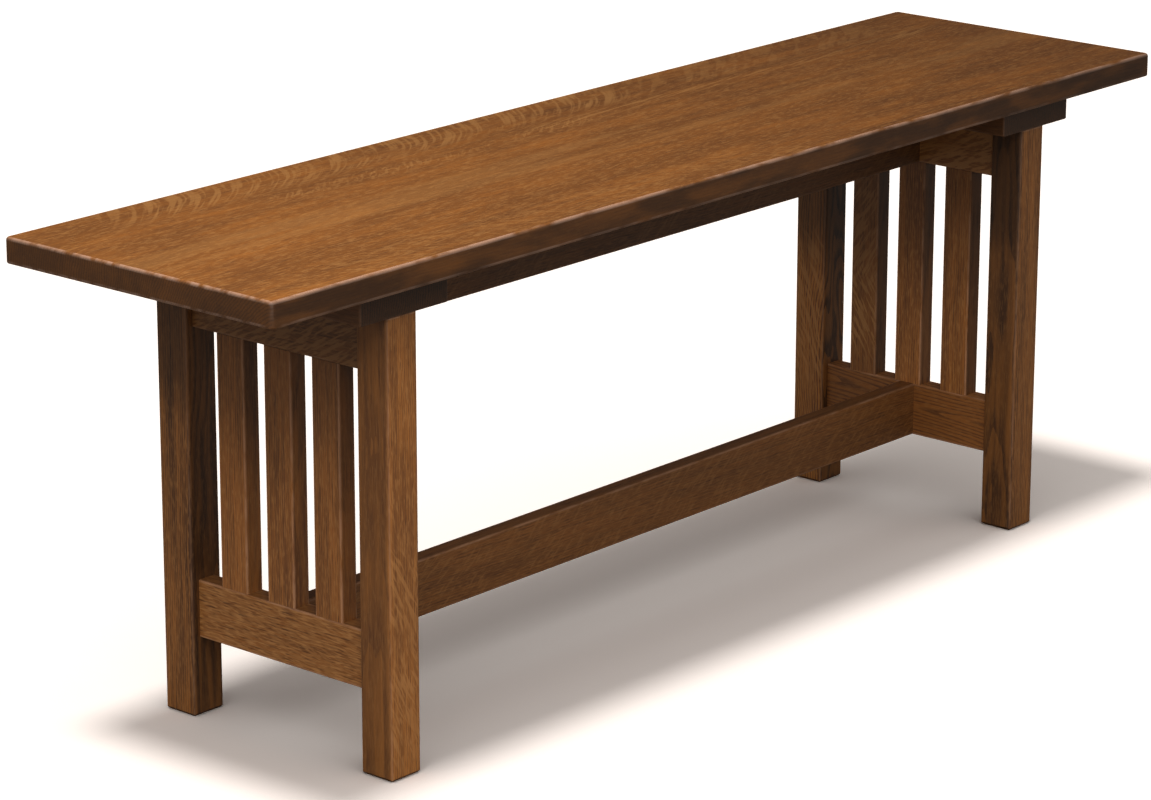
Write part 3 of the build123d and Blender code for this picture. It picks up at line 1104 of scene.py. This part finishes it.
@dataclass
class Studio:
    """White floor, pale surroundings, softboxes on the bench and a wide overhead light on the floor.

    The sky is brightest in one direction, down to a low level where its dot product with that
    direction reaches the sky edge.
    """

    floor_side: float = 60.0
    floor_hex: str = "#fff4ec"
    floor_gain: float = 1.36
    floor_dim_hex: str = "#75706a"
    ceiling_light: float = 0.54
    ceiling_spread_deg: float = 9.0
    ceiling_tilt_deg: float = 9.6
    sky_from: Triple = (-0.5, -0.6, 0.62)
    sky_top: float = 0.75
    sky_level: float = 0.05
    sky_edge: float = -0.3
    softboxes: tuple[Softbox, ...] = (
        Softbox("front_softbox", (-1.6, -1.5, 2.2), 0.9, 0.178),
        Softbox("left_softbox", (-2.5, -0.5, 1.7), 0.9, 0.116),
        Softbox("top_softbox", (-0.9, -0.3, 1.6), 0.6, 0.288),
    )

    def build(self) -> None:
        """Makes the floor, the world and the lamps, which light the floor and the bench apart."""
        floor = self._floor()
        self._world()
        bench_alone = self._receivers("all_but_the_floor", floor, "EXCLUDE")
        for softbox in self.softboxes:
            softbox.build(bench_alone)
        self._ceiling(self._receivers("floor_alone", floor, "INCLUDE"))
        bpy.context.scene.view_settings.view_transform = "Standard"

    def _receivers(self, name: str, floor: bpy.types.Object, state: str) -> bpy.types.Collection:
        """Makes the collection that limits a lamp to the floor, or to all else.

        Args:
            name: Name of the collection.
            floor: The floor.
            state: Whether the lamp's light is to include or exclude the floor.

        Returns:
            The collection.
        """
        receivers = bpy.data.collections.new(name)
        receivers.objects.link(floor)
        receivers.collection_objects[0].light_linking.link_state = state
        return receivers

    def _floor(self) -> bpy.types.Object:
        """Makes a white floor that keeps the bench's shadow and throws little light back up.

        Returns:
            The floor.
        """
        half = self.floor_side / 2
        mesh = bpy.data.meshes.new("floor")
        corners = [(-half, -half, 0.0), (half, -half, 0.0), (half, half, 0.0), (-half, half, 0.0)]
        mesh.from_pydata(corners, [], [(0, 1, 2, 3)])
        floor = bpy.data.objects.new("floor", mesh)
        bpy.context.scene.collection.objects.link(floor)
        # Matt white that is dimmer to the light it throws on, so the wood above it stays dark
        material, tree = new_material("matt_white_painted_floor")
        seen = add_node(tree, "ShaderNodeBsdfDiffuse", {"Color": linear(self.floor_hex, self.floor_gain)})
        dim = add_node(tree, "ShaderNodeBsdfDiffuse", {"Color": linear(self.floor_dim_hex)})
        surface = add_node(
            tree, "ShaderNodeMixShader", {0: self._shown(tree), 1: dim.outputs[0], 2: seen.outputs[0]}
        )
        add_node(tree, "ShaderNodeOutputMaterial", {"Surface": surface.outputs[0]})
        mesh.materials.append(material)
        log.info("built floor")
        return floor

    def _shown(self, tree: Tree) -> Socket:
        """Picks the rays that show the white background from those that light the bench.

        They are the camera's own, those through glass and the sharp reflections of polished metal.
        A satin reflection isn't one of them, because white all round would veil the lacquer.

        Args:
            tree: Node tree of the floor or the world.

        Returns:
            One for a ray that shows the background, none for the others.
        """
        rays = add_node(tree, "ShaderNodeLightPath").outputs
        seen = add_node(
            tree,
            MATH,
            {0: rays["Is Glossy Ray"], 1: rays["Is Singular Ray"], 2: rays["Is Camera Ray"]},
            operation="MULTIPLY_ADD",
        )
        return add_node(
            tree,
            MATH,
            {0: seen.outputs[0], 1: rays["Is Transmission Ray"]},
            operation="ADD",
            use_clamp=True,
        ).outputs[0]

    def _ceiling(self, lit: bpy.types.Collection) -> None:
        """Makes the wide light overhead, a little to the left, for the floor's white and its shadow.

        Args:
            lit: What the light falls on.
        """
        lamp = bpy.data.lights.new("ceiling_light", "SUN")
        lamp.angle = math.radians(self.ceiling_spread_deg)
        lamp.energy = self.ceiling_light * math.pi
        holder = bpy.data.objects.new("ceiling_light", lamp)
        holder.rotation_euler = (0.0, math.radians(-self.ceiling_tilt_deg), 0.0)
        holder.light_linking.receiver_collection = lit
        bpy.context.scene.collection.objects.link(holder)
        log.info("built ceiling_light")

    def _world(self) -> None:
        """Makes surroundings that look white and light the bench most from the front left."""
        world = bpy.data.worlds.new("pale_studio")
        world.use_nodes = True
        tree = world.node_tree
        tree.nodes.clear()
        direction = add_node(tree, "ShaderNodeTexCoord")
        towards = add_node(
            tree,
            VECTOR_MATH,
            {0: direction.outputs["Generated"], 1: tuple(Vector(self.sky_from).normalized())},
            operation="DOT_PRODUCT",
        )
        strength = add_node(
            tree,
            MAP_RANGE,
            {
                "Value": towards.outputs["Value"],
                "From Min": self.sky_edge,
                "To Min": self.sky_level,
                "To Max": self.sky_top,
            },
            interpolation_type="SMOOTHSTEP",
        )
        shown = add_node(tree, MATH, {0: strength.outputs[0], 1: self._shown(tree)}, operation="MAXIMUM")
        light = add_node(tree, "ShaderNodeBackground", {"Color": (1.0,) * 4, "Strength": shown.outputs[0]})
        add_node(tree, "ShaderNodeOutputWorld", {"Surface": light.outputs[0]})
        bpy.context.scene.world = world
        log.info("built world")


@dataclass(frozen=True)
class Viewpoint:
    """The camera, in front of the left end and above the seat.

    Its heading is from +Y towards +X, its dip is below level, and its lens is in millimetres.
    """

    place: Triple = (-2.9557, -2.4962, 1.3679)
    heading_deg: float = 49.124
    dip_deg: float = 16.716
    roll_deg: float = 0.083
    lens: float = 136.07

    def build(self) -> None:
        """Makes the camera."""
        heading, dip, roll = (math.radians(a) for a in (self.heading_deg, self.dip_deg, self.roll_deg))
        ahead = Vector(
            (math.sin(heading) * math.cos(dip), math.cos(heading) * math.cos(dip), -math.sin(dip))
        )
        right = Vector((math.cos(heading), -math.sin(heading), 0.0))
        up = right.cross(ahead)
        turned_right = right * math.cos(roll) + up * math.sin(roll)
        turned_up = up * math.cos(roll) - right * math.sin(roll)
        data = bpy.data.cameras.new("camera")
        data.lens = self.lens
        camera = bpy.data.objects.new("camera", data)
        turn = Matrix((turned_right, turned_up, -ahead)).transposed()
        camera.matrix_world = Matrix.Translation(self.place) @ turn.to_4x4()
        bpy.context.scene.collection.objects.link(camera)
        bpy.context.scene.camera = camera
        log.info("built camera")


def main() -> None:
    """Dresses the bench from the seat down, then sets up the studio and the camera."""
    logging.basicConfig(level=logging.INFO, format="%(name)s: %(message)s")
    Seat().dress()
    EndFrame(End.LEFT, first_seed=20).dress()
    EndFrame(End.RIGHT, first_seed=40).dress()
    Stretchers().dress()
    Fasteners().dress()
    Studio().build()
    Viewpoint().build()


if __name__ == "__main__":
    main()
